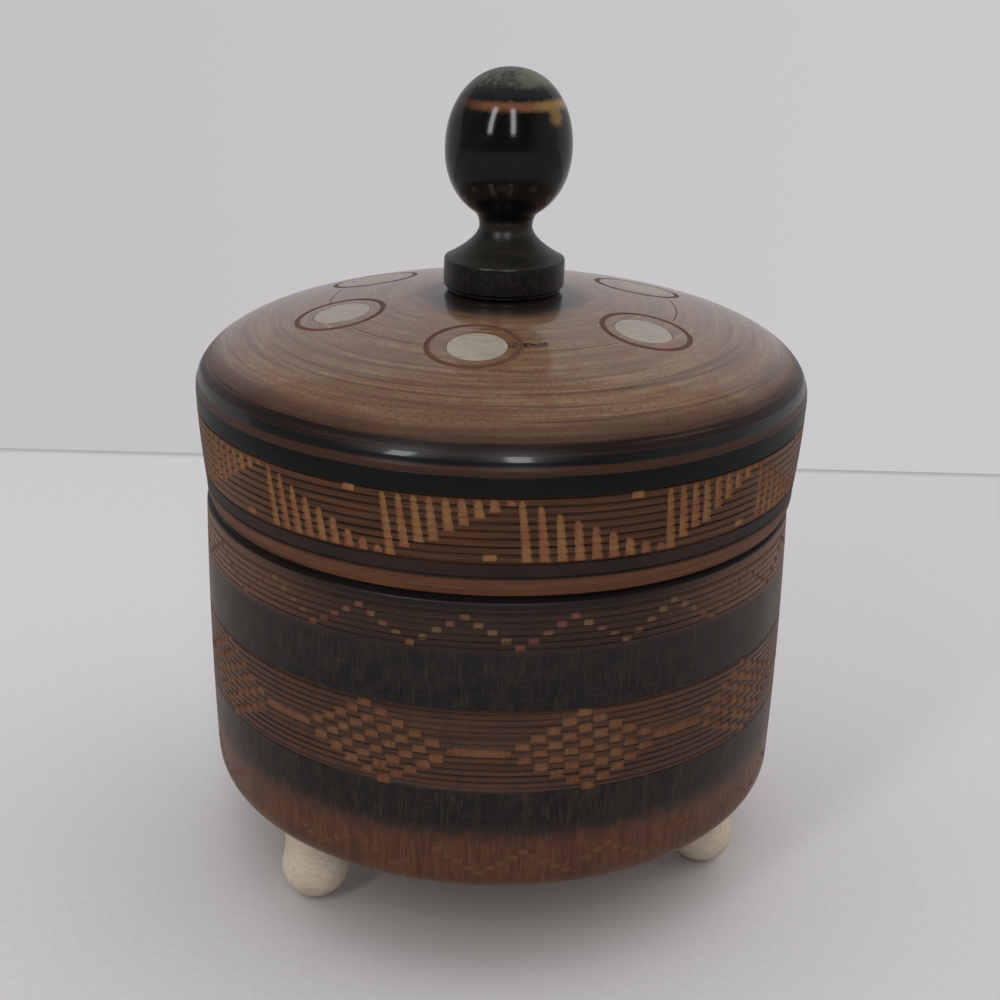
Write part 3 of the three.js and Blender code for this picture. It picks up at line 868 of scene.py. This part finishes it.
lidLook = {
    "rings": (1.6, 0.9, 5.0), "fineRings": (4.0, 4.2, 4.0, 5.0), "arcs": (0.9, 0.75, 4.0, 12.0),
    "cloud": (0.07, 3.0), "blotches": (0.22, 4.0, 0.6), "specks": (1.9, 3.0, 0.6), "wander": 0.4,
    "dome": (0.36, 0.64, (112, 86, 63), (136, 108, 78)), "fine": (0.4, 0.68, 0.5, (84, 60, 45)),
    "blotch": (0.46, 0.62, 0.6, (116, 76, 58)), "speck": (0.5, 0.66, 0.5, (80, 52, 40)),
    "shoulder": (0.35, 0.65, (46, 28, 22), (74, 48, 36)), "shoulderHeights": (91.4, 87.8),
    "arc": (74, 51, 40), "arcEnds": (0.47, 0.62), "arcRadii": (30.0, 42.0, 0.25, 0.75),
    "soot": (88.9, 87.3, 0.85, (18, 13, 11)),
    "knobShadow": (20, 16, 16), "knobShadowRadii": (11.2, 16.5, 0.95, 0.0), "domeEdge": (86.7, 87.1),
    "black": (84.0, 85.0, (11, 10, 9), (10, 7, 6)), "brown": (0.35, 0.65, (66, 38, 21), (90, 55, 31)),
    "paintedSideLight": (0.6, 0.97, 0.55, (122, 92, 68)), "plain": (60, 35, 24), "carvedBand": (70.9, 81.25, 0.12),
    "scored": (25, 16, 12), "scoredWidth": 0.42, "scoredBand": (71.2, 81.1, 0.05),
    "scoredWear": (0.3, 0.6, 0.75, 0.45),
    "stain": (33, 25, 22), "stainBand": (68.4, 70.95, 0.2), "stainWear": (0.35, 0.6, 1.0, 0.5),
    "bead": (0.3, 0.7, (82, 47, 28), (104, 64, 40)), "beadBand": (60.0, 68.3, 0.25),
    "blackBand": (81.2, 84.2, 0.1), "red": (62, 37, 25), "redBand": (84.2, 85.5, 0.15),
    "edgeBand": (85.5, 86.85, 0.15), "seam": (65.6, 65.5, 1.0, (10, 7, 6)),
    "inside": (0.3, 0.7, (120, 84, 58), (146, 106, 76)), "insideRadii": (46.2, 45.8),
    "insideHeights": (95.8, 95.2),
    "dash": (26, 18, 16), "dashWidth": (0.4, 6.7, 0.2), "dashRadii": (25.4, 26.95, 0.2),
    "dashWear": (0.42, 0.5, 0.0, 0.9),
    "polishBand": (85.45, 86.9, 0.12), "polishHeights": (88.6, 91.0, 0.0, 0.9),
    "roughness": (81.0, 81.5, 0.45, 0.35),
}


def lidFinish():
    look = lidLook
    made, shader = material("polishedLid")
    at = use(turned)
    z, r = at["Height"], at["Radius"]
    along = calc("SUBTRACT", r, z)
    ways = parted(at["Around"])
    rings, fine, arcs = [grain(at, along, *look[name]) for name in ("rings", "fineRings", "arcs")]
    cloud, blotch, speck = [noiseOf(at["Place"], *look[name]) for name in ("cloud", "blotches", "specks")]
    wander = swing(cloud, look["wander"])

    def mark(name):
        return bandOf(z, *look[name + "Band"], wander)

    dome = ramp(rings, *look["dome"])
    dome = layer(dome, fine, *look["fine"])
    dome = layer(dome, blotch, *look["blotch"])
    dome = layer(dome, speck, *look["speck"])
    shoulder = rise(calc("MULTIPLY_ADD", wander, 3.0, z), *look["shoulderHeights"])
    dome = tint(shoulder, dome, ramp(fine, *look["shoulder"]))
    arcs = product(rise(arcs, *look["arcEnds"]), rise(r, *look["arcRadii"]))
    dome = tint(arcs, dome, shade(look["arc"]))
    soot = calc("MULTIPLY_ADD", calc("SUBTRACT", rings, 0.5), 7.0, z)  # stain that crept up the grain
    dome = layer(dome, soot, *look["soot"])
    knobShadow = calc("ADD", product(speck, 1.5), calc("MULTIPLY_ADD", ways[1], 2.6, r))
    dome = tint(rise(knobShadow, *look["knobShadowRadii"]), dome, shade(look["knobShadow"]))  # painted shadow and dark reflection of the knob round its foot, strongest in front

    black = ramp(z, *look["black"])
    brown = ramp(fine, *look["brown"])
    # painted side light: the brown is paler towards the sides
    brown = layer(brown, calc("ABSOLUTE", ways[0]), *look["paintedSideLight"])
    outer = tint(mark("carved"), shade(look["plain"]), brown)
    cut = product(linesOf(z, lid["gougeLines"][0], lid["gougeLines"][2], look["scoredWidth"]), mark("scored"))
    outer = tint(product(cut, rise(rings, *look["scoredWear"])), outer, shade(look["scored"]))
    stain = product(mark("stain"), rise(cloud, *look["stainWear"]))
    outer = tint(stain, outer, shade(look["stain"]))
    for name, paint in (("bead", ramp(fine, *look["bead"])), ("black", black),
                        ("red", shade(look["red"])), ("edge", black)):
        outer = tint(mark(name), outer, paint)
    # painted shade: the lid's bottom edge at the gap painted near-black
    outer = layer(outer, z, *look["seam"])
    colour = tint(rise(calc("ADD", z, wander), *look["domeEdge"]), outer, dome)

    dash = product(bandOf(parted(at["Place"])[0], *look["dashWidth"]), bandOf(r, *look["dashRadii"]))
    dash = product(dash, rise(ways[1], -0.9, -0.95))  # only in front
    colour = tint(product(dash, rise(speck, *look["dashWear"])), colour, shade(look["dash"]))
    flatter = calc("MULTIPLY_ADD", product(r, r), 0.5 / lid["crownArc"], z)  # without the crown's fall
    inner = product(rise(r, *look["insideRadii"]), rise(flatter, *look["insideHeights"]))
    colour = tint(inner, colour, ramp(rings, *look["inside"]))
    polish = calc("MAXIMUM", product(mark("polish"), 0.5), rise(z, *look["polishHeights"]))
    height = calc("ADD", rings, product(fine, 0.5))
    plug(shader, {"Base Color": colour, "Roughness": rise(z, *look["roughness"]), "Specular IOR Level": 0.3,
                  "Normal": bumped(height, 0.2), "Coat Weight": polish, "Coat Roughness": 0.1})
    return made


cutLook = {
    "fresh": (0.3, 0.7, (94, 57, 38), (117, 76, 51)), "patch": (0.42, 0.6, 0.5, (115, 83, 52)),
    "cloud": (0.48, 0.66, 0.6, (112, 70, 54)),
    "fibre": (90.0, 0.3), "noises": ((0.4, 2.0), (0.16, 2.0), (0.55, 3.0)),
    "worn": (0.45, 0.55, (104, 62, 54), (100, 80, 54)), "wornHeights": (57.0, 58.0, 0.0, 0.8),
    "golden": (0.4, 0.6, (138, 87, 56), (146, 101, 58)), "goldenHeights": (70.6, 71.0, 0.0, 0.65),
    "low": (25.5, 24.0, 0.9, (98, 61, 40)), "ring": ((76, 47, 37), (108, 72, 55)),
}


def cutFinish():
    look = cutLook
    made, shader = material("freshCutWood")
    at = use(turned)
    z = at["Height"]
    fibre = grain(at, z, *look["fibre"])
    each, patch, cloud = [noiseOf(at["Place"], *noise) for noise in look["noises"]]
    colour = layer(ramp(fibre, *look["fresh"]), patch, *look["patch"])
    colour = layer(colour, cloud, *look["cloud"])
    for name in ("worn", "golden"):  # on the body's zigzag and on the lid
        colour = tint(rise(z, *look[name + "Heights"]), colour, ramp(each, *look[name]))
    colour = layer(colour, z, *look["low"])
    plug(shader, {"Base Color": colour, "Roughness": 0.65, "Specular IOR Level": 0.25,
                  "Normal": bumped(fibre, 0.5), **woodSheen})
    return made


def ringFinish():
    made, shader = material("ringStain")
    cloud = noiseOf(use(turned)["Place"], 0.6, 3.0)
    colour = tint(cloud, *[shade(c) for c in cutLook["ring"]])
    plug(shader, {"Base Color": colour, "Roughness": 0.5, "Specular IOR Level": 0.3})
    return made


knobLook = {
    "rings": (0.8, 1.6, 4.0), "cloud": (0.25, 3.0), "mottle": (1.1, 4.0, 0.65), "uneven": 1.2,
    "drum": (0.48, 0.62, (5, 4, 3), (32, 23, 18)), "neck": (0.35, 0.65, (26, 24, 19), (40, 36, 29)),
    "neckHeights": (103.5, 103.9), "egg": (0.35, 0.7, (9, 9, 9), (17, 17, 17)), "eggHeights": (109.6, 110.6),
    "worn": (3.0, 6.5, (124, 80, 58), (146, 112, 62)), "wornBand": (127.9, 129.2, 0.45),
    "wornSide": (-8.0, -2.0, 0.05, 0.8),
    "rub": (120, 94, 52), "rubPlace": (7.2, -5.4, 126.9), "rubRadii": (0.8, 2.2, 0.85, 0.0),
    "crown": (128.9, 130.2, 0.8, (38, 38, 38)),
    "cap": (0.4, 0.65, (56, 58, 54), (90, 92, 80)), "capHeights": (130.4, 132.4, 0.0, 0.85),
    "capHighlight": (122, 124, 96), "highlightSide": (0.5, 4.0, 0.0, 0.5),
    "roughness": (0.34, 0.12), "capRoughness": (0.4, 0.4, 0.4, 1),
}


def knobFinish():
    look = knobLook
    made, shader = material("blackPolish")
    at = use(turned)
    z = at["Height"]
    rings = grain(at, z, *look["rings"])
    cloud, mottle = [noiseOf(at["Place"], *look[name]) for name in ("cloud", "mottle")]
    uneven = swing(mottle, look["uneven"])
    side = parted(at["Place"])[0]  # it is rubbed more on the right, where the cap also has a painted highlight
    colour = tint(rise(z, *look["neckHeights"]), ramp(mottle, *look["drum"]), ramp(rings, *look["neck"]))
    colour = tint(rise(z, *look["eggHeights"]), colour, ramp(cloud, *look["egg"]))
    worn = product(bandOf(z, *look["wornBand"], uneven), rise(side, *look["wornSide"]))
    colour = tint(worn, colour, ramp(side, *look["worn"]))
    rub = vectorCalc("DISTANCE", at["Place"], {1: look["rubPlace"]})["Value"]
    rub = rise(calc("ADD", rub, product(uneven, 1.5)), *look["rubRadii"])
    colour = tint(rub, colour, shade(look["rub"]))
    # painted reflection: a grey band between the worn ring and the cap
    colour = layer(colour, z, *look["crown"])
    # the cap's grey-green is partly its own colour and partly a painted sheen from above
    cap = rise(calc("ADD", z, uneven), *look["capHeights"])
    colour = tint(cap, colour, ramp(mottle, *look["cap"]))
    # painted highlight: the cap paler on its right
    pale = product(cap, rise(calc("ADD", side, uneven), *look["highlightSide"]))
    colour = tint(pale, colour, shade(look["capHighlight"]))
    rough = tint(cap, rise(z, *look["eggHeights"], *look["roughness"]), look["capRoughness"])
    plug(shader, {"Base Color": colour, "Roughness": rough, "Specular IOR Level": 0.4,
                  "Normal": bumped(rings, 0.1)})
    return made


boneLook = {
    "paleBone": ((158, 149, 136), (139, 129, 115)), "creamBone": ((207, 193, 173), (188, 173, 152)),
    "stretch": (0.35, 2.6, 2.6), "fibre": (0.8, 4.0, 0.6, 0.4), "cloud": (0.3, 3.0),
    "scatter": (0.002, 0.0014, 0.0009),
}


def boneFinish(name):
    made, shader = material(name)
    at = use(turned)
    pale, dark = boneLook[name]
    long = vectorCalc("MULTIPLY", at["Place"], {1: boneLook["stretch"]})[0]
    fibre = noiseOf(long, *boneLook["fibre"])
    cloud = noiseOf(at["Place"], *boneLook["cloud"])
    colour = layer(ramp(fibre, 0.4, 0.7, pale, dark), cloud, 0.5, 0.8, 0.5, dark)
    plug(shader, {"Base Color": colour, "Roughness": 0.35, "Subsurface Weight": 0.1,
                  "Subsurface Radius": boneLook["scatter"], "Subsurface Scale": 1.0,
                  "Specular IOR Level": 0.4, "Normal": bumped(fibre, 0.1)})
    return made


freshCut = cutFinish()
buildBody([bodyFinish(), freshCut])
buildLid([lidFinish(), freshCut, ringFinish()])
buildKnob([knobFinish()])
buildInlays([boneFinish("paleBone")])
buildFeet([boneFinish("creamBone")])
print("all pieces ready")
